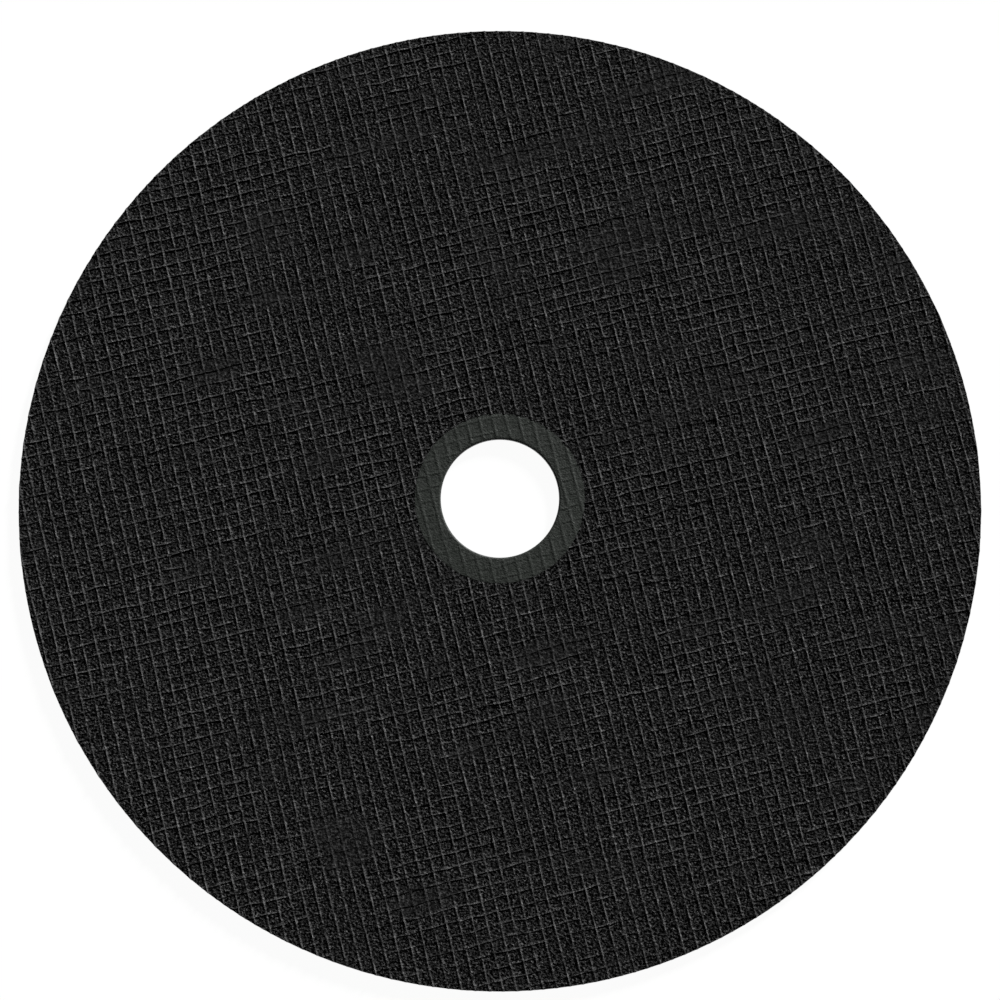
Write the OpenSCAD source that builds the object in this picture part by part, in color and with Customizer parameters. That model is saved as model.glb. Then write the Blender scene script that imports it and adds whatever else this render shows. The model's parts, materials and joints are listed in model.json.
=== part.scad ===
// Flat cut-off wheel: a thin bonded abrasive disc faced with woven glass mesh,
// and a pressed steel arbor ring that lines its bore.
// Millimetres. +Z is the wheel's axis, and the front face, with the ring's flange, looks up.
// The origin is on the axis, on the plane that the back face rests on.

/* [Wheel] */
// Outer diameter
wheel_d = 180; // [100:1:230]
// Thickness over the mesh ridges of both faces
wheel_t = 1.6; // [1.3:0.1:3.2]

/* [Mesh facing] */
// Distance between neighbouring warp threads
thread_pitch = 2.4; // [1.6:0.1:5]
// Width of a warp thread's ridge at its foot
ridge_foot_w = 0.7; // [0.5:0.05:1.5]
// Width of the flat along the top of a ridge
ridge_top_w = 0.2; // [0.1:0.05:0.4]
// Height of a ridge above the resin between the threads
ridge_h = 0.2; // [0.05:0.01:0.25]
// Turn of the warp threads from the Y axis
mesh_turn = 14.3; // [0:0.1:45]

/* [Arbor ring] */
// Bore that takes the spindle
bore_d = 22.23; // [16:0.01:25.4]
// Outer diameter of the flange
flange_d = 31.8; // [29:0.1:40]
// Thickness of the pressed sheet
sheet_t = 0.3; // [0.2:0.05:0.5]
// Rounding of the bore's mouth, where the flange turns down into the sleeve
mouth_r = 0.3; // [0.1:0.05:0.6]
// Height of the mesh imprint on the flange
imprint_h = 0.1; // [0.03:0.01:0.15]
// Plain border of the flange, inside and outside of the imprint
imprint_border = 0.25; // [0.1:0.05:0.5]
// Bond line around the sleeve and the flange
bond_gap = 0.02; // [0.01:0.01:0.05]

/* [Hidden] */
$fn = 180;

wheel_r = wheel_d / 2;
bore_r = bore_d / 2;
flange_r = flange_d / 2;

// Levels of the resin between the ridges, on the back and on the front
back_z = ridge_h;
front_z = wheel_t - ridge_h;
// Level of the recess floor that the flange sits on
seat_z = front_z - sheet_t;
// Level inside the flange that its imprinted ridges grow from
imprint_root_z = front_z - sheet_t / 2;

// Warp threads to each side of the one through the axis
threads_each_side = ceil(wheel_r / thread_pitch);
cloth_half_w = threads_each_side * thread_pitch + thread_pitch / 2;
// How far a cutting solid runs past the faces that it cuts
cut_past = 1;

// One ridge across the threads: foot, flat top, foot
function ridge(centre, level, rise) = [
    [centre - ridge_foot_w / 2, level],
    [centre - ridge_top_w / 2, level + rise],
    [centre + ridge_top_w / 2, level + rise],
    [centre + ridge_foot_w / 2, level]
];

// A row of ridges from the cloth's left edge to its right one; rise is negative on the back
function ridge_row(level, rise) = [
    [-cloth_half_w, level],
    for (i = [-threads_each_side : threads_each_side])
        each ridge(i * thread_pitch, level, rise),
    [cloth_half_w, level]
];

// A ridge of the imprint, with its root inside the flange
function imprinted_ridge(centre) = [
    [centre - ridge_foot_w / 2, imprint_root_z],
    each ridge(centre, front_z, imprint_h),
    [centre + ridge_foot_w / 2, imprint_root_z]
];

function backwards(points) = [for (i = [len(points) - 1 : -1 : 0]) points[i]];

// A section drawn across the threads, run along them past the wheel's edge
module along_threads() {
    rotate([0, 0, mesh_turn])
        rotate([90, 0, 0])
            linear_extrude(height = 2 * cloth_half_w, center = true)
                children();
}

module cylinder_between(r, low, high) {
    translate([0, 0, low])
        cylinder(r = r, h = high - low);
}

// The moulded disc: its mesh-faced sheet trimmed round, with a seat for the ring
module abrasive_disc() {
    color("#202020")
        difference() {
            intersection() {
                along_threads()
                    polygon(concat(ridge_row(front_z, ridge_h), backwards(ridge_row(back_z, -ridge_h))));
                cylinder_between(wheel_r, -cut_past, wheel_t + cut_past);
            }
            cylinder_between(bore_r + sheet_t + bond_gap, -cut_past, wheel_t + cut_past);
            cylinder_between(flange_r + bond_gap, seat_z, wheel_t + cut_past);
        }
}

// Half section of the ring: the sleeve, the flange and the rounding between them
module ring_section() {
    difference() {
        union() {
            translate([bore_r, back_z])
                square([sheet_t, front_z - back_z]);
            translate([bore_r, seat_z])
                square([flange_r - bore_r, sheet_t]);
        }
        difference() {
            translate([bore_r, front_z - mouth_r])
                square(mouth_r);
            translate([bore_r + mouth_r, front_z - mouth_r])
                circle(mouth_r);
        }
    }
}

// The mesh printed into the flange when the wheel was pressed
module flange_imprint() {
    difference() {
        intersection() {
            along_threads()
                for (i = [-threads_each_side : threads_each_side])
                    polygon(imprinted_ridge(i * thread_pitch));
            cylinder_between(flange_r - imprint_border, back_z, wheel_t);
        }
        cylinder_between(bore_r + mouth_r + imprint_border, back_z - cut_past, wheel_t + cut_past);
    }
}

// The pressed ring: a flange let into the front face and a sleeve through the bore
module arbor_ring() {
    color("#303330")
        union() {
            rotate_extrude()
                ring_section();
            flange_imprint();
        }
}

abrasive_disc();
arbor_ring();
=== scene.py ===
"""Dresses the cut-off wheel: its mesh-faced abrasive disc, its pressed arbor ring and a plain studio.

Everything is in metres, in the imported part's own frame: +Z is the wheel's axis, and the front face looks up.
"""
import json
import logging
import math
from dataclasses import dataclass, field
from enum import Enum

import bmesh
import bpy
from mathutils import Matrix, Vector, noise


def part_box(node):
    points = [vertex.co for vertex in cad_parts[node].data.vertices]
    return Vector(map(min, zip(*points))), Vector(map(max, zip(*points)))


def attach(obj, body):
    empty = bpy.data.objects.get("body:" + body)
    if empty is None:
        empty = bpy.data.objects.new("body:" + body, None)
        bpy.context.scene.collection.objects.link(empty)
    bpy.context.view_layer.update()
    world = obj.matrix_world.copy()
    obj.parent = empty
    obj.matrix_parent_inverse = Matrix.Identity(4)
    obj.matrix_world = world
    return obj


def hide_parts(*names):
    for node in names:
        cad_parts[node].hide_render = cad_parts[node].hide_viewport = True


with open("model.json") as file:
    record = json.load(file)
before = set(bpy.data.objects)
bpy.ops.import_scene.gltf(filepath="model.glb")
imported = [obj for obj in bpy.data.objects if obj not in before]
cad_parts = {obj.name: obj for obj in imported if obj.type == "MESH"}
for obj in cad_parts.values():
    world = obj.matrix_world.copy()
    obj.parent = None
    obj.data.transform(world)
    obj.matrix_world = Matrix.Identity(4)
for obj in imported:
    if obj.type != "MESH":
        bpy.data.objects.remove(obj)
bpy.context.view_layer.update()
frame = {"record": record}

MM = 0.001
ROOT_BODY = "root"
POOL_ATTRIBUTE = "resin_pool"
LOG = logging.getLogger("cut_off_wheel")

# Distances in the noise between two draws, and between the two faces
DRAW_STEP = 31.7
FACE_STEP = 211.3

Colour = tuple[float, float, float, float]
Span = tuple[float, float]


class Face(Enum):
    """A face of the wheel, with the way out of it along Z."""

    FRONT = 1.0
    BACK = -1.0


class Draw(Enum):
    """What a stretch of noise is drawn for, so that no two uses repeat each other."""

    WARP_SHIFT = 1.0
    WEFT_SHIFT = 2.0
    WARP_STAND = 5.0
    WEFT_STAND = 6.0
    RESIN_SWELL = 7.0
    WEFT_GROOVE = 8.0
    RESIN_POOL = 9.0

    def place(self, face: Face) -> float:
        """Return the draw's own place in the noise on a face."""
        return DRAW_STEP * self.value + FACE_STEP * face.value


def linear(hex_colour: str) -> Colour:
    """Turn an sRGB hex colour into linear values.

    Args:
        hex_colour: Six hex digits after a hash sign.

    Returns:
        Linear red, green and blue, and an alpha of 1.
    """
    channels = [int(hex_colour[i:i + 2], 16) / 255 for i in (1, 3, 5)]
    red, green, blue = (c / 12.92 if c <= 0.04045 else ((c + 0.055) / 1.055) ** 2.4 for c in channels)
    return red, green, blue, 1.0


def per_metre(size: float) -> float:
    """Return the texture scale, in features per metre, for a feature of that size in metres."""
    return 1 / size


def add_node(
    tree: bpy.types.NodeTree,
    kind: str,
    settings: dict[str, object] | None = None,
    inputs: dict[str | int, object] | None = None,
) -> bpy.types.Node:
    """Add a node with its settings, its input values and its links.

    Args:
        tree: The node tree that the node goes into.
        kind: Blender's name for the node's type.
        settings: Properties of the node itself.
        inputs: Sockets by name or number, each with a value or the output socket that feeds it.

    Returns:
        The new node.
    """
    node = tree.nodes.new(kind)
    for name, value in (settings or {}).items():
        setattr(node, name, value)
    for name, value in (inputs or {}).items():
        if isinstance(value, bpy.types.NodeSocket):
            tree.links.new(value, node.inputs[name])
        else:
            node.inputs[name].default_value = value
    return node


def new_material(name: str) -> tuple[bpy.types.Material, bpy.types.NodeTree]:
    """Make an empty node material.

    Args:
        name: The material's name.

    Returns:
        The material and its node tree.
    """
    material = bpy.data.materials.new(name)
    material.use_nodes = True
    material.node_tree.nodes.clear()
    return material, material.node_tree


def new_piece(name: str, shape: bmesh.types.BMesh) -> bpy.types.Object:
    """Turn a bmesh into an object at the origin and free the bmesh.

    Args:
        name: The object's name.
        shape: The finished shape, in the part's frame.

    Returns:
        The new object.
    """
    mesh = bpy.data.meshes.new(name)
    shape.to_mesh(mesh)
    shape.free()
    piece = bpy.data.objects.new(name, mesh)
    bpy.context.scene.collection.objects.link(piece)
    return piece


def turn_round(shape: bmesh.types.BMesh, steps: int) -> None:
    """Turn a closed section about the wheel's axis into a solid.

    Args:
        shape: The section's edges, in the XZ plane.
        steps: Number of steps in the full turn.
    """
    bmesh.ops.spin(
        shape,
        geom=shape.verts[:] + shape.edges[:],
        axis=(0, 0, 1),
        cent=(0, 0, 0),
        angle=2 * math.pi,
        steps=steps,
        use_merge=True,
    )
    bmesh.ops.recalc_face_normals(shape, faces=shape.faces)


@dataclass(frozen=True)
class WheelSizes:
    """The wheel's sizes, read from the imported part, and the two that it doesn't give."""

    radius: float
    thickness: float
    ridge_rise: float
    flange_radius: float
    bore_radius: float
    sheet: float = 0.3 * MM
    bond_gap: float = 0.02 * MM

    @classmethod
    def from_frame(cls) -> "WheelSizes":
        """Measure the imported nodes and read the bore's radius from the record.

        Returns:
            The wheel's sizes.
        """
        disc_low, disc_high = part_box("abrasive_disc")
        ring_low, ring_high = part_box("arbor_ring")
        bore = next(m for m in frame["record"]["mounts"] if m["name"] == "bore")
        return cls(
            radius=(disc_high.y - disc_low.y) / 2,
            thickness=disc_high.z,
            ridge_rise=ring_low.z,
            flange_radius=(ring_high.y - ring_low.y) / 2,
            bore_radius=bore["dims"]["r_mm"] * MM,
        )

    @property
    def front_level(self) -> float:
        """Height of the resin between the threads of the front face."""
        return self.thickness - self.ridge_rise

    @property
    def back_level(self) -> float:
        """Height of the resin between the threads of the back face."""
        return self.ridge_rise


@dataclass(frozen=True)
class Threads:
    """One set of parallel threads of the mesh: the warp or the weft.

    u runs across the warp threads and v across the weft threads, both from the wheel's axis. A small step
    from thread to thread in the noise makes neighbours move together.
    """

    shift_draw: Draw
    stand_draw: Draw
    pitch: float
    feet: Span
    share: float
    stand_mean: float
    stand_swing: float
    break_size: Span
    # Wide patches in which the threads stand out more or less
    patch_swing: float = 0.0
    patch_length: float = 16 * MM
    patch_seed: float = 3.0
    least_stand: float = 0.3
    # How a thread leaves its even place: as a whole, in waves, with its neighbours and in short steps
    jitter: float = 0.12 * MM
    jitter_step: float = 1.37
    jitter_seed: float = 0.5
    wobble: float = 0.11 * MM
    wobble_length: float = 9 * MM
    wobble_step: float = 0.61
    drift: float = 0.35 * MM
    drift_length: float = 28 * MM
    drift_step: float = 0.08
    drift_seed: float = 11.0
    stagger: float = 0.0
    stagger_length: float = 3.3 * MM
    stagger_step: float = 3.1
    stagger_seed: float = 5.0

    @property
    def section(self) -> tuple[float, float, float]:
        """Places of a thread's lower foot, its crest and its upper foot, from its middle line."""
        return -self.feet[0], 0.0, self.feet[1]

    def number(self, across: float) -> int:
        """Return the number, counted from the axis, of the thread nearest to a place across the threads."""
        return round(across / self.pitch)

    def shift(self, thread: int, along: float, face: Face) -> float:
        """Find how far a thread lies from its even place.

        Args:
            thread: The thread's number, counted from the axis.
            along: The place along the thread.
            face: The face that the thread is on.

        Returns:
            The shift across the thread.
        """
        place = self.shift_draw.place(face)
        jitter = noise.noise((thread * self.jitter_step, place, self.jitter_seed))
        wobble = noise.noise((thread * self.wobble_step, along / self.wobble_length, place))
        drift = noise.noise((thread * self.drift_step, along / self.drift_length, place + self.drift_seed))
        stagger = noise.noise(
            (thread * self.stagger_step, along / self.stagger_length, place + self.stagger_seed)
        )
        return jitter * self.jitter + wobble * self.wobble + drift * self.drift + stagger * self.stagger

    def offset(self, across: float, along: float, face: Face) -> float:
        """Return how far a place lies from the crest of the thread nearest to it."""
        thread = self.number(across)
        return across - thread * self.pitch - self.shift(thread, along, face)

    def profile(self, offset: float) -> float:
        """Return 1 on a crest, falling to 0 at its lower and its upper foot."""
        lower, upper = self.feet
        return max(0.0, 1 - (offset / upper if offset > 0 else -offset / lower))

    def stand(self, u: float, v: float, face: Face) -> float:
        """Find how far the threads stand out at a place.

        Args:
            u: Place across the warp.
            v: Place across the weft.
            face: The face of the wheel.

        Returns:
            A share of the threads' full height.
        """
        place = self.stand_draw.place(face)
        spot = noise.noise((u / self.break_size[0], v / self.break_size[1], place))
        patch = noise.noise((u / self.patch_length, v / self.patch_length, place + self.patch_seed))
        share = self.stand_mean + self.stand_swing * (spot + self.patch_swing * patch)
        return min(1.0, max(self.least_stand, share))


WARP = Threads(
    shift_draw=Draw.WARP_SHIFT,
    stand_draw=Draw.WARP_STAND,
    pitch=2.405 * MM,
    feet=(0.45 * MM, 0.36 * MM),
    share=1.0,
    stand_mean=0.865,
    stand_swing=0.26,
    break_size=(2.6 * MM, 7 * MM),
)
WEFT = Threads(
    shift_draw=Draw.WEFT_SHIFT,
    stand_draw=Draw.WEFT_STAND,
    pitch=2.443 * MM,
    feet=(0.22 * MM, 0.42 * MM),
    share=0.79,
    stand_mean=0.74,
    stand_swing=0.8,
    break_size=(3.1 * MM, 2.6 * MM),
    patch_swing=1.0,
    stagger=0.38 * MM,
)


@dataclass(frozen=True)
class GlassMesh:
    """The square-woven glass mesh whose threads stand out of the resin as ridges."""

    rise: float
    turn: float = math.radians(14.3)
    warp: Threads = WARP
    weft: Threads = WEFT
    crimp: float = 0.18
    # Groove along the lower side of each weft thread
    groove: float = 0.08 * MM
    groove_mean: float = 0.5
    groove_length: float = 14 * MM
    groove_step: float = 0.77
    # Places where resin has pooled over the threads, longer across the warp than across the weft
    pool_length: float = 15 * MM
    pool_width: float = 5.5 * MM
    pool_start: float = 0.15
    pool_fade: float = 0.45
    pool_sink: float = 0.35
    resin_swell: float = 0.035 * MM
    resin_length: float = 1.7 * MM

    def pool(self, u: float, v: float, face: Face) -> float:
        """Return how far resin has pooled over the mesh at a place, from 0 to 1."""
        spot = noise.noise((u / self.pool_length, v / self.pool_width, Draw.RESIN_POOL.place(face)))
        return min(1.0, max(0.0, (spot - self.pool_start) / self.pool_fade))

    def swell(self, u: float, v: float, face: Face) -> float:
        """Return how far the resin between the threads swells above its level at a place."""
        place = (u / self.resin_length, v / self.resin_length, Draw.RESIN_SWELL.place(face))
        return self.resin_swell * noise.noise(place)

    def groove_depth(self, weft_thread: int, u: float, face: Face) -> float:
        """Return the depth of the groove along the lower side of a weft thread."""
        place = (weft_thread * self.groove_step, u / self.groove_length, Draw.WEFT_GROOVE.place(face))
        return self.groove * max(0.0, self.groove_mean + noise.noise(place))

    def height(self, u: float, v: float, face: Face) -> float:
        """Find the relief above the resin's level.

        Args:
            u: Place across the warp.
            v: Place across the weft.
            face: The face of the wheel.

        Returns:
            The height, at most the mesh's rise.
        """
        warp_thread = self.warp.number(u)
        weft_thread = self.weft.number(v)
        weft_offset = self.weft.offset(v, u, face)
        over = math.cos(math.pi * (v / self.weft.pitch + warp_thread))
        under = math.cos(math.pi * (u / self.warp.pitch + weft_thread))
        crest = self.rise / (1 + self.crimp) * (1 - self.pool_sink * self.pool(u, v, face))
        warp_top = crest * self.warp.share * self.warp.stand(u, v, face) * (1 + self.crimp * over)
        weft_top = crest * self.weft.share * self.weft.stand(u, v, face) * (1 - self.crimp * under)
        threads = max(
            warp_top * self.warp.profile(self.warp.offset(u, v, face)),
            weft_top * self.weft.profile(weft_offset),
        )
        groove = self.groove_depth(weft_thread, u, face) * self.weft.profile(weft_offset + self.weft.feet[0])
        return min(self.rise, threads + self.swell(u, v, face) - groove * (1 - threads / self.rise))

    def to_mesh_axes(self, x: float, y: float) -> Span:
        """Turn a place on the wheel into places across the warp and the weft."""
        turned = Matrix.Rotation(-self.turn, 2) @ Vector((x, y))
        return turned.x, turned.y


@dataclass(frozen=True)
class BondedAbrasive:
    """Resin-bonded abrasive faced with resin-soaked glass mesh, pressed and cured.

    It gives the eye a near-black, gritty face: dull glints painted on the threads, and deep blacks in the pits
    that are partly the resin's own black and partly painted shade.
    """

    name: str = "resin_bonded_abrasive"
    # Dark end of the colour mix: the resin's own black, deepened by painted shade in the pits
    pit_shade_colour: str = "#010101"
    # Light end of the colour mix: the painted highlight on the thread crests and on the grain's tops
    thread_highlight_colour: str = "#696969"
    roughness: float = 0.85
    roughness_spread: float = 0.1
    specular: float = 0.015
    ior: float = 1.55
    # Grain, the finer grit in it and clumps of grains, each at its real size
    grain: float = 0.46 * MM
    grain_depth: float = 0.58 * MM
    # Lightness that follows the grain's height: partly the grain's own tone, partly painted light on its tops
    # and painted shade in its pits
    speckle_and_shade_span: Span = (0.4, 0.73)
    speckle_and_shade_lightness: float = 0.37
    grit: float = 0.22 * MM
    grit_span: Span = (0.3, 0.75)
    grit_gain: Span = (0.35, 1.7)
    clump: float = 0.75 * MM
    clump_span: Span = (0.25, 0.75)
    clump_gain: Span = (0.45, 1.55)
    # Threads, with a painted highlight lighter than the grain, and the smoother resin that has pooled over
    # both
    crest_start: float = 0.2
    crest_highlight: float = 0.48
    crest_depth: float = 0.5
    pool_cover: float = 0.4
    pool_lightness: float = 0.12
    pool_depth: float = 0.42

    def crest(
        self,
        tree: bpy.types.NodeTree,
        place: bpy.types.NodeSocket,
        mid_level: float,
        valley: float,
        rise: float,
    ) -> bpy.types.NodeSocket:
        """Find how near a place is to the top of a thread.

        Args:
            tree: The material's node tree.
            place: The place on the disc.
            mid_level: Height of the middle of the disc's thickness.
            valley: Distance from there to the resin between the threads.
            rise: Height of a thread above that resin.

        Returns:
            0 on the resin and 1 on the highest crests.
        """
        height = add_node(tree, "ShaderNodeSeparateXYZ", inputs={0: place}).outputs["Z"]
        from_middle = add_node(tree, "ShaderNodeMath", {"operation": "SUBTRACT"}, {0: height, 1: mid_level})
        outwards = add_node(tree, "ShaderNodeMath", {"operation": "ABSOLUTE"}, {0: from_middle.outputs[0]})
        crest = add_node(
            tree,
            "ShaderNodeMapRange",
            inputs={
                "Value": outwards.outputs[0],
                "From Min": valley + self.crest_start * rise,
                "From Max": valley + rise,
            },
        )
        return crest.outputs[0]

    def lightness(
        self,
        tree: bpy.types.NodeTree,
        place: bpy.types.NodeSocket,
        grain: bpy.types.NodeSocket,
        crest: bpy.types.NodeSocket,
        pool: bpy.types.NodeSocket,
    ) -> bpy.types.NodeSocket:
        """Mix the lightness of grain, grit, clumps, pooled resin and the painted highlight on the threads.

        Args:
            tree: The material's node tree.
            place: The place on the disc.
            grain: The grain's noise.
            crest: How near the place is to the top of a thread.
            pool: How far resin has pooled there.

        Returns:
            0 for the pits' colour with its painted shade, and 1 for the threads' painted highlight colour.
        """
        grit = add_node(
            tree,
            "ShaderNodeTexNoise",
            inputs={"Vector": place, "Scale": per_metre(self.grit), "Detail": 0.0},
        )
        clump = add_node(
            tree,
            "ShaderNodeTexNoise",
            inputs={"Vector": place, "Scale": per_metre(self.clump), "Detail": 0.0},
        )
        # Painted light on the grain's tops and painted shade in its pits, partly the grain's own tone
        speckle_and_shade = add_node(
            tree,
            "ShaderNodeMapRange",
            inputs={
                "Value": grain,
                "From Min": self.speckle_and_shade_span[0],
                "From Max": self.speckle_and_shade_span[1],
                "To Max": self.speckle_and_shade_lightness,
            },
        )
        glints, broken = (
            add_node(
                tree,
                "ShaderNodeMapRange",
                inputs={
                    "Value": source.outputs[0],
                    "From Min": span[0],
                    "From Max": span[1],
                    "To Min": gain[0],
                    "To Max": gain[1],
                },
            )
            for source, span, gain in (
                (grit, self.grit_span, self.grit_gain),
                (clump, self.clump_span, self.clump_gain),
            )
        )
        patchy = add_node(
            tree,
            "ShaderNodeMath",
            {"operation": "MULTIPLY"},
            {0: speckle_and_shade.outputs[0], 1: glints.outputs[0]},
        )
        pooled = add_node(tree, "ShaderNodeMapRange", inputs={"Value": pool, "To Max": self.pool_cover})
        flats = add_node(
            tree,
            "ShaderNodeMix",
            inputs={0: pooled.outputs[0], 2: patchy.outputs[0], 3: self.pool_lightness},
        )
        clumps = add_node(
            tree,
            "ShaderNodeMath",
            {"operation": "MULTIPLY"},
            {0: flats.outputs[0], 1: broken.outputs[0]},
        )
        # Painted highlight along the thread crests, added over the flats' lightness
        lightness = add_node(
            tree,
            "ShaderNodeMath",
            {"operation": "MULTIPLY_ADD", "use_clamp": True},
            {0: crest, 1: self.crest_highlight, 2: clumps.outputs[0]},
        )
        return lightness.outputs[0]

    def relief(
        self,
        tree: bpy.types.NodeTree,
        grain: bpy.types.NodeSocket,
        crest: bpy.types.NodeSocket,
        pool: bpy.types.NodeSocket,
    ) -> bpy.types.NodeSocket:
        """Raise the grain, less on the threads and where resin has pooled.

        Args:
            tree: The material's node tree.
            grain: The grain's noise.
            crest: How near the place is to the top of a thread.
            pool: How far resin has pooled there.

        Returns:
            The bumped normal.
        """
        on_pool, on_thread = (
            add_node(tree, "ShaderNodeMapRange", inputs={"Value": cover, "To Min": 1.0, "To Max": depth})
            for cover, depth in ((pool, self.pool_depth), (crest, self.crest_depth))
        )
        strength = add_node(
            tree,
            "ShaderNodeMath",
            {"operation": "MULTIPLY"},
            {0: on_pool.outputs[0], 1: on_thread.outputs[0]},
        )
        bump = add_node(
            tree,
            "ShaderNodeBump",
            inputs={"Strength": strength.outputs[0], "Distance": self.grain_depth, "Height": grain},
        )
        return bump.outputs[0]

    def material(self, mid_level: float, valley: float, rise: float) -> bpy.types.Material:
        """Build the material.

        Args:
            mid_level: Height of the middle of the disc's thickness.
            valley: Distance from there to the resin between the threads.
            rise: Height of a thread above that resin.

        Returns:
            The finished material.
        """
        material, tree = new_material(self.name)
        place = add_node(tree, "ShaderNodeTexCoord").outputs["Object"]
        pool = add_node(tree, "ShaderNodeAttribute", {"attribute_name": POOL_ATTRIBUTE}).outputs["Fac"]
        grain = add_node(
            tree,
            "ShaderNodeTexNoise",
            inputs={"Vector": place, "Scale": per_metre(self.grain), "Detail": 1.5, "Roughness": 0.55},
        ).outputs[0]
        crest = self.crest(tree, place, mid_level, valley, rise)
        # Painted shade in the pits at one end of the mix, painted highlight on the crests at the other
        colour = add_node(
            tree,
            "ShaderNodeMix",
            {"data_type": "RGBA"},
            {
                0: self.lightness(tree, place, grain, crest, pool),
                6: linear(self.pit_shade_colour),
                7: linear(self.thread_highlight_colour),
            },
        )
        rough = add_node(
            tree,
            "ShaderNodeMapRange",
            inputs={
                "Value": grain,
                "To Min": self.roughness + self.roughness_spread,
                "To Max": self.roughness - self.roughness_spread,
            },
        )
        shader = add_node(
            tree,
            "ShaderNodeBsdfPrincipled",
            inputs={
                "Base Color": colour.outputs[2],
                "Roughness": rough.outputs[0],
                "IOR": self.ior,
                "Specular IOR Level": self.specular,
                "Normal": self.relief(tree, grain, crest, pool),
            },
        )
        add_node(tree, "ShaderNodeOutputMaterial", inputs={"Surface": shader.outputs[0]})
        return material


@dataclass(frozen=True)
class CutRim:
    """The bare abrasive of the trimmed rim, with no mesh over it.

    It gives the eye a coarse, dead matt edge, a little greyer than the faces where grains are broken open.
    """

    name: str = "bare_abrasive_rim"
    bond_colour: str = "#0b0b0b"
    grain_colour: str = "#4a4a48"
    roughness: float = 0.9
    specular: float = 0.2
    grain: float = 0.35 * MM
    grain_depth: float = 0.25 * MM
    bared_span: Span = (0.45, 1.0)

    def material(self) -> bpy.types.Material:
        """Build the material.

        Returns:
            The finished material.
        """
        material, tree = new_material(self.name)
        place = add_node(tree, "ShaderNodeTexCoord").outputs["Object"]
        grains = add_node(
            tree,
            "ShaderNodeTexVoronoi",
            inputs={"Vector": place, "Scale": per_metre(self.grain), "Randomness": 1.0},
        )
        broken = add_node(tree, "ShaderNodeSeparateColor", inputs={0: grains.outputs["Color"]})
        bared = add_node(
            tree,
            "ShaderNodeMapRange",
            inputs={
                "Value": broken.outputs[0],
                "From Min": self.bared_span[0],
                "From Max": self.bared_span[1],
            },
        )
        colour = add_node(
            tree,
            "ShaderNodeMix",
            {"data_type": "RGBA"},
            {0: bared.outputs[0], 6: linear(self.bond_colour), 7: linear(self.grain_colour)},
        )
        bump = add_node(
            tree,
            "ShaderNodeBump",
            {"invert": True},
            {"Strength": 1.0, "Distance": self.grain_depth, "Height": grains.outputs["Distance"]},
        )
        shader = add_node(
            tree,
            "ShaderNodeBsdfPrincipled",
            inputs={
                "Base Color": colour.outputs[2],
                "Roughness": self.roughness,
                "Specular IOR Level": self.specular,
                "Normal": bump.outputs[0],
            },
        )
        add_node(tree, "ShaderNodeOutputMaterial", inputs={"Surface": shader.outputs[0]})
        return material


@dataclass(frozen=True)
class CoatedSteel:
    """Pressed sheet steel with a thin dark coat.

    It gives the eye a smoother, greener grey than the abrasive, with a faint satin sheen.
    """

    name: str = "coated_sheet_steel"
    colour: str = "#1c201c"
    worn_colour: str = "#353835"
    roughness: float = 0.55
    specular: float = 0.25
    ior: float = 1.5
    mottle: float = 0.4 * MM
    worn_span: Span = (0.3, 0.7)
    grain: float = 0.3 * MM
    grain_depth: float = 0.1 * MM

    def material(self) -> bpy.types.Material:
        """Build the material.

        Returns:
            The finished material.
        """
        material, tree = new_material(self.name)
        place = add_node(tree, "ShaderNodeTexCoord").outputs["Object"]
        mottle = add_node(
            tree,
            "ShaderNodeTexNoise",
            inputs={"Vector": place, "Scale": per_metre(self.mottle), "Detail": 3.0},
        )
        worn = add_node(
            tree,
            "ShaderNodeMapRange",
            inputs={
                "Value": mottle.outputs[0],
                "From Min": self.worn_span[0],
                "From Max": self.worn_span[1],
            },
        )
        grain = add_node(
            tree,
            "ShaderNodeTexNoise",
            inputs={"Vector": place, "Scale": per_metre(self.grain), "Detail": 2.0},
        )
        colour = add_node(
            tree,
            "ShaderNodeMix",
            {"data_type": "RGBA"},
            {0: worn.outputs[0], 6: linear(self.colour), 7: linear(self.worn_colour)},
        )
        bump = add_node(
            tree,
            "ShaderNodeBump",
            inputs={"Strength": 1.0, "Distance": self.grain_depth, "Height": grain.outputs[0]},
        )
        shader = add_node(
            tree,
            "ShaderNodeBsdfPrincipled",
            inputs={
                "Base Color": colour.outputs[2],
                "Roughness": self.roughness,
                "IOR": self.ior,
                "Specular IOR Level": self.specular,
                "Normal": bump.outputs[0],
            },
        )
        add_node(tree, "ShaderNodeOutputMaterial", inputs={"Surface": shader.outputs[0]})
        return material


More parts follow.
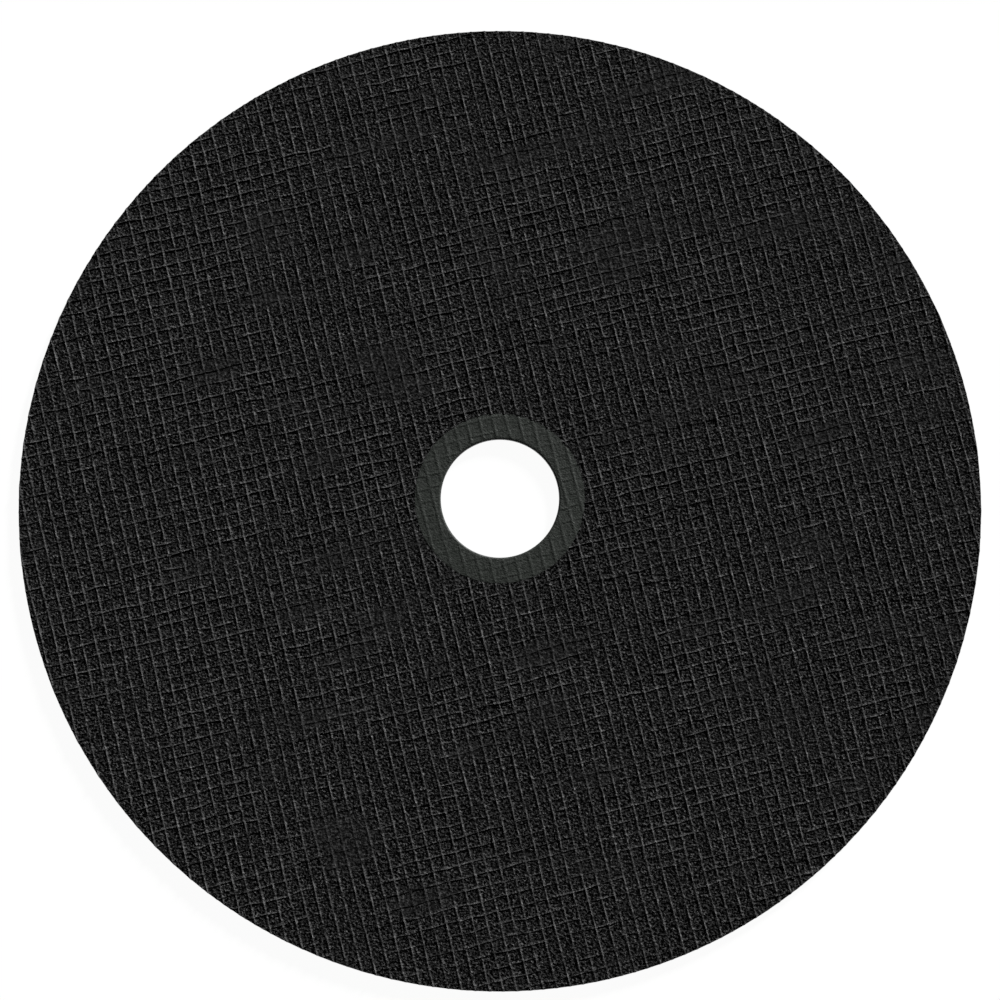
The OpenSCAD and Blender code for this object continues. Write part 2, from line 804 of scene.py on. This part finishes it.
@dataclass
class AbrasiveDisc:
    """The moulded disc: one sheet with the mesh's relief on both faces, trimmed round and bored."""

    sizes: WheelSizes
    mesh: GlassMesh
    turned_steps: int = 720
    rim_slope: float = 0.5
    finish: BondedAbrasive = field(default_factory=BondedAbrasive)
    rim_finish: CutRim = field(default_factory=CutRim)

    def sheet_shape(self) -> bmesh.types.BMesh:
        """Weave the square sheet: a grid with a crest and two feet for each thread, made solid.

        Returns:
            A closed slab, wider than the wheel, with relief on both faces.
        """
        warp, weft = self.mesh.warp, self.mesh.weft
        points = len(warp.section)
        warp_side = math.ceil(self.sizes.radius / warp.pitch) + 1
        weft_side = math.ceil(self.sizes.radius / weft.pitch) + 1
        last_column = points * (2 * warp_side + 1) - 1
        last_row = points * (2 * weft_side + 1) - 1
        half = 0.5
        shape = bmesh.new()
        bmesh.ops.create_grid(shape, x_segments=last_column, y_segments=last_row, size=half)
        front = list(shape.verts)
        grown = bmesh.ops.extrude_face_region(shape, geom=list(shape.faces), use_keep_orig=True)
        back = [e for e in grown["geom"] if isinstance(e, bmesh.types.BMVert)]
        for face, level, verts in (
            (Face.FRONT, self.sizes.front_level, front),
            (Face.BACK, self.sizes.back_level, back),
        ):
            for vert in verts:
                warp_thread, warp_point = divmod(round((vert.co.x + half) * last_column), points)
                weft_thread, weft_point = divmod(round((vert.co.y + half) * last_row), points)
                warp_thread -= warp_side
                weft_thread -= weft_side
                even_u = warp_thread * warp.pitch + warp.section[warp_point]
                even_v = weft_thread * weft.pitch + weft.section[weft_point]
                u = even_u + warp.shift(warp_thread, even_v, face)
                v = even_v + weft.shift(weft_thread, even_u, face)
                vert.co = (u, v, level + face.value * self.mesh.height(u, v, face))
        bmesh.ops.rotate(shape, verts=shape.verts, matrix=Matrix.Rotation(self.mesh.turn, 3, "Z"))
        bmesh.ops.recalc_face_normals(shape, faces=shape.faces)
        return shape

    def blank_shape(self) -> bmesh.types.BMesh:
        """Turn the round blank that trims the sheet: the rim, and a stepped bore for the ring.

        Returns:
            A closed solid of revolution, taller than the sheet.
        """
        past = self.sizes.thickness
        seat = self.sizes.front_level - self.sizes.sheet
        bore = self.sizes.bore_radius + self.sizes.sheet + self.sizes.bond_gap
        recess = self.sizes.flange_radius + self.sizes.bond_gap
        outline = [
            (bore, -past),
            (self.sizes.radius, -past),
            (self.sizes.radius, self.sizes.thickness + past),
            (recess, self.sizes.thickness + past),
            (recess, seat),
            (bore, seat),
        ]
        shape = bmesh.new()
        corners = [shape.verts.new((r, 0, z)) for r, z in outline]
        for start, end in zip(corners, corners[1:] + corners[:1]):
            shape.edges.new((start, end))
        turn_round(shape, self.turned_steps)
        return shape

    def build(self) -> bpy.types.Object:
        """Trim the sheet with the blank.

        Returns:
            The disc, with its trimming applied to its mesh.
        """
        piece = new_piece("abrasive_disc_woven", self.sheet_shape())
        blank = new_piece("blank", self.blank_shape())
        trim = piece.modifiers.new("trim", "BOOLEAN")
        trim.operation = "INTERSECT"
        trim.solver = "MANIFOLD"
        trim.object = blank
        depsgraph = bpy.context.evaluated_depsgraph_get()
        trimmed = bpy.data.meshes.new_from_object(piece.evaluated_get(depsgraph))
        piece.modifiers.clear()
        piece.data = trimmed
        bpy.data.objects.remove(blank)
        return piece

    def dress(self, piece: bpy.types.Object) -> None:
        """Give the disc its finishes, its pools of resin and its place in the frame.

        Args:
            piece: The built disc.
        """
        middle = self.sizes.thickness / 2
        valley = middle - self.mesh.rise
        piece.data.materials.clear()
        piece.data.materials.append(self.finish.material(middle, valley, self.mesh.rise))
        piece.data.materials.append(self.rim_finish.material())
        pools = piece.data.attributes.new(POOL_ATTRIBUTE, "FLOAT", "POINT")
        for vert, pool in zip(piece.data.vertices, pools.data):
            face = Face.FRONT if vert.co.z > middle else Face.BACK
            pool.value = self.mesh.pool(*self.mesh.to_mesh_axes(vert.co.x, vert.co.y), face)
        for polygon in piece.data.polygons:
            far_out = polygon.center.xy.length > self.sizes.radius - self.sizes.bond_gap
            polygon.material_index = int(far_out and abs(polygon.normal.z) < self.rim_slope)
        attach(piece, ROOT_BODY)
        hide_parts("abrasive_disc")


@dataclass
class ArborRing:
    """The pressed ring: a sleeve through the bore, a rounded mouth and a flange with the mesh's imprint."""

    sizes: WheelSizes
    mesh: GlassMesh
    mouth_radius: float = 0.3 * MM
    mouth_segments: int = 6
    flange_cuts: int = 27
    turned_steps: int = 480
    border: float = 0.25 * MM
    imprint_share: float = 0.57
    level_tolerance: float = 0.0025 * MM
    sharp_angle: float = math.radians(35)
    finish: CoatedSteel = field(default_factory=CoatedSteel)

    def build(self) -> bpy.types.Object:
        """Turn the ring's section and press the mesh into its flange.

        Returns:
            The ring.
        """
        bore = self.sizes.bore_radius
        sheet = self.sizes.sheet
        top = self.sizes.front_level
        outline = [
            (bore, self.sizes.back_level),
            (bore, top),
            (self.sizes.flange_radius, top),
            (self.sizes.flange_radius, top - sheet),
            (bore + sheet, top - sheet),
            (bore + sheet, self.sizes.back_level),
        ]
        shape = bmesh.new()
        corners = [shape.verts.new((r, 0, z)) for r, z in outline]
        shape.faces.new(corners)
        bmesh.ops.bevel(
            shape,
            geom=[corners[1]],
            offset=self.mouth_radius,
            affect="VERTICES",
            segments=self.mouth_segments,
            profile=0.5,
            material=-1,
        )
        # The flange's top is the longest of the edges at the top
        flange_edge = max(shape.edges, key=lambda edge: sum(v.co.z for v in edge.verts) + edge.calc_length())
        bmesh.ops.subdivide_edges(shape, edges=[flange_edge], cuts=self.flange_cuts)
        bmesh.ops.delete(shape, geom=shape.faces[:], context="FACES_ONLY")
        turn_round(shape, self.turned_steps)
        inner = bore + self.mouth_radius
        for vert in shape.verts:
            radius = vert.co.xy.length
            inside = min(radius - inner, self.sizes.flange_radius - radius) / self.border
            if inside > 0 and abs(vert.co.z - top) < self.level_tolerance:
                u, v = self.mesh.to_mesh_axes(vert.co.x, vert.co.y)
                vert.co.z += min(1.0, inside) * self.imprint_share * self.mesh.height(u, v, Face.FRONT)
        return new_piece("arbor_ring_pressed", shape)

    def dress(self, piece: bpy.types.Object) -> None:
        """Give the ring its finish and its place in the frame.

        Args:
            piece: The built ring.
        """
        piece.data.shade_smooth()
        piece.data.set_sharp_from_angle(angle=self.sharp_angle)
        piece.data.materials.append(self.finish.material())
        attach(piece, ROOT_BODY)
        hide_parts("arbor_ring")


@dataclass
class Studio:
    """A pale floor, one soft key lamp from the upper right, a dim surround and the camera."""

    sizes: WheelSizes
    floor_half: float = 4.0
    floor_colour: str = "#f2f2f2"
    white_share: float = 0.94
    white_level: float = 1.02
    key_turn: float = math.radians(54)
    key_height: float = math.radians(17)
    key_level: float = 0.83
    key_spread: float = math.radians(8)
    fill_level: float = 0.03
    surround_colour: str = "#ffffff"
    surround_height: float = math.radians(5)
    camera_height: float = math.radians(86.07)
    camera_distance: float = 225 * MM
    camera_lens: float = 43.34
    camera_near: float = 10 * MM
    aim: Span = (0.02 * MM, -0.36 * MM)

    def build_floor(self) -> None:
        """Lay the floor, white to the camera but with the wheel's soft shadow left in it."""
        shape = bmesh.new()
        bmesh.ops.create_grid(shape, x_segments=1, y_segments=1, size=self.floor_half)
        floor = new_piece("floor", shape)
        material, tree = new_material("pale_floor")
        path = add_node(tree, "ShaderNodeLightPath")
        seen = add_node(
            tree,
            "ShaderNodeMath",
            {"operation": "MAXIMUM"},
            {0: path.outputs["Is Camera Ray"], 1: path.outputs["Is Glossy Ray"]},
        )
        shown = add_node(
            tree,
            "ShaderNodeMath",
            {"operation": "MAXIMUM"},
            {0: seen.outputs[0], 1: path.outputs["Is Transmission Ray"]},
        )
        share = add_node(
            tree,
            "ShaderNodeMath",
            {"operation": "MULTIPLY"},
            {0: shown.outputs[0], 1: self.white_share},
        )
        paper = add_node(tree, "ShaderNodeBsdfDiffuse", inputs={"Color": linear(self.floor_colour)})
        white = add_node(tree, "ShaderNodeEmission", inputs={"Strength": self.white_level})
        both = add_node(
            tree,
            "ShaderNodeMixShader",
            inputs={0: share.outputs[0], 1: paper.outputs[0], 2: white.outputs[0]},
        )
        add_node(tree, "ShaderNodeOutputMaterial", inputs={"Surface": both.outputs[0]})
        floor.data.materials.append(material)

    def build_light(self) -> None:
        """Hang the key lamp and set the surround: pale near the horizon and dim overhead."""
        lamp = bpy.data.lights.new("key", "SUN")
        lamp.energy = self.key_level * math.pi / math.sin(self.key_height)
        lamp.angle = self.key_spread
        key = bpy.data.objects.new("key", lamp)
        towards = Vector((
            math.cos(self.key_turn) * math.cos(self.key_height),
            math.sin(self.key_turn) * math.cos(self.key_height),
            math.sin(self.key_height),
        ))
        key.rotation_euler = towards.to_track_quat("Z", "Y").to_euler()
        bpy.context.scene.collection.objects.link(key)

        world = bpy.data.worlds.new("surround")
        bpy.context.scene.world = world
        world.use_nodes = True
        tree = world.node_tree
        tree.nodes.clear()
        path = add_node(tree, "ShaderNodeLightPath")
        way = add_node(tree, "ShaderNodeTexCoord").outputs["Generated"]
        up = add_node(tree, "ShaderNodeSeparateXYZ", inputs={0: way}).outputs["Z"]
        low = add_node(
            tree,
            "ShaderNodeMath",
            {"operation": "LESS_THAN"},
            {0: up, 1: math.sin(self.surround_height)},
        )
        mirrored = add_node(
            tree,
            "ShaderNodeMath",
            {"operation": "MAXIMUM"},
            {0: path.outputs["Is Glossy Ray"], 1: path.outputs["Is Transmission Ray"]},
        )
        mirrored_low = add_node(
            tree,
            "ShaderNodeMath",
            {"operation": "MULTIPLY"},
            {0: mirrored.outputs[0], 1: low.outputs[0]},
        )
        shown = add_node(
            tree,
            "ShaderNodeMath",
            {"operation": "MAXIMUM"},
            {0: path.outputs["Is Camera Ray"], 1: mirrored_low.outputs[0]},
        )
        strength = add_node(
            tree,
            "ShaderNodeMapRange",
            inputs={"Value": shown.outputs[0], "To Min": self.fill_level, "To Max": 1.0},
        )
        light = add_node(
            tree,
            "ShaderNodeBackground",
            inputs={"Color": linear(self.surround_colour), "Strength": strength.outputs[0]},
        )
        add_node(tree, "ShaderNodeOutputWorld", inputs={"Surface": light.outputs[0]})

    def build_camera(self) -> None:
        """Set the camera almost straight above the front face, as the photograph is taken."""
        lens = bpy.data.cameras.new("camera")
        lens.lens = self.camera_lens
        lens.clip_start = self.camera_near
        camera = bpy.data.objects.new("camera", lens)
        back = Vector((0.0, -math.cos(self.camera_height), math.sin(self.camera_height)))
        target = Vector((*self.aim, self.sizes.thickness))
        camera.location = target + back * self.camera_distance
        camera.rotation_euler = (-back).to_track_quat("-Z", "Y").to_euler()
        bpy.context.scene.collection.objects.link(camera)
        bpy.context.scene.camera = camera

    def build(self) -> None:
        """Build the floor, the light and the camera."""
        self.build_floor()
        self.build_light()
        self.build_camera()
        bpy.context.scene.view_settings.view_transform = "Standard"


def main() -> None:
    """Build the wheel and its studio, and report each piece."""
    logging.basicConfig(level=logging.INFO, format="%(name)s: %(message)s")
    sizes = WheelSizes.from_frame()
    mesh = GlassMesh(rise=sizes.ridge_rise)
    for part in (AbrasiveDisc(sizes, mesh), ArborRing(sizes, mesh)):
        piece = part.build()
        part.dress(piece)
        piece.data.calc_loop_triangles()
        LOG.info("%s: %d triangles", piece.name, len(piece.data.loop_triangles))
    Studio(sizes).build()


if __name__ == "__main__":
    main()
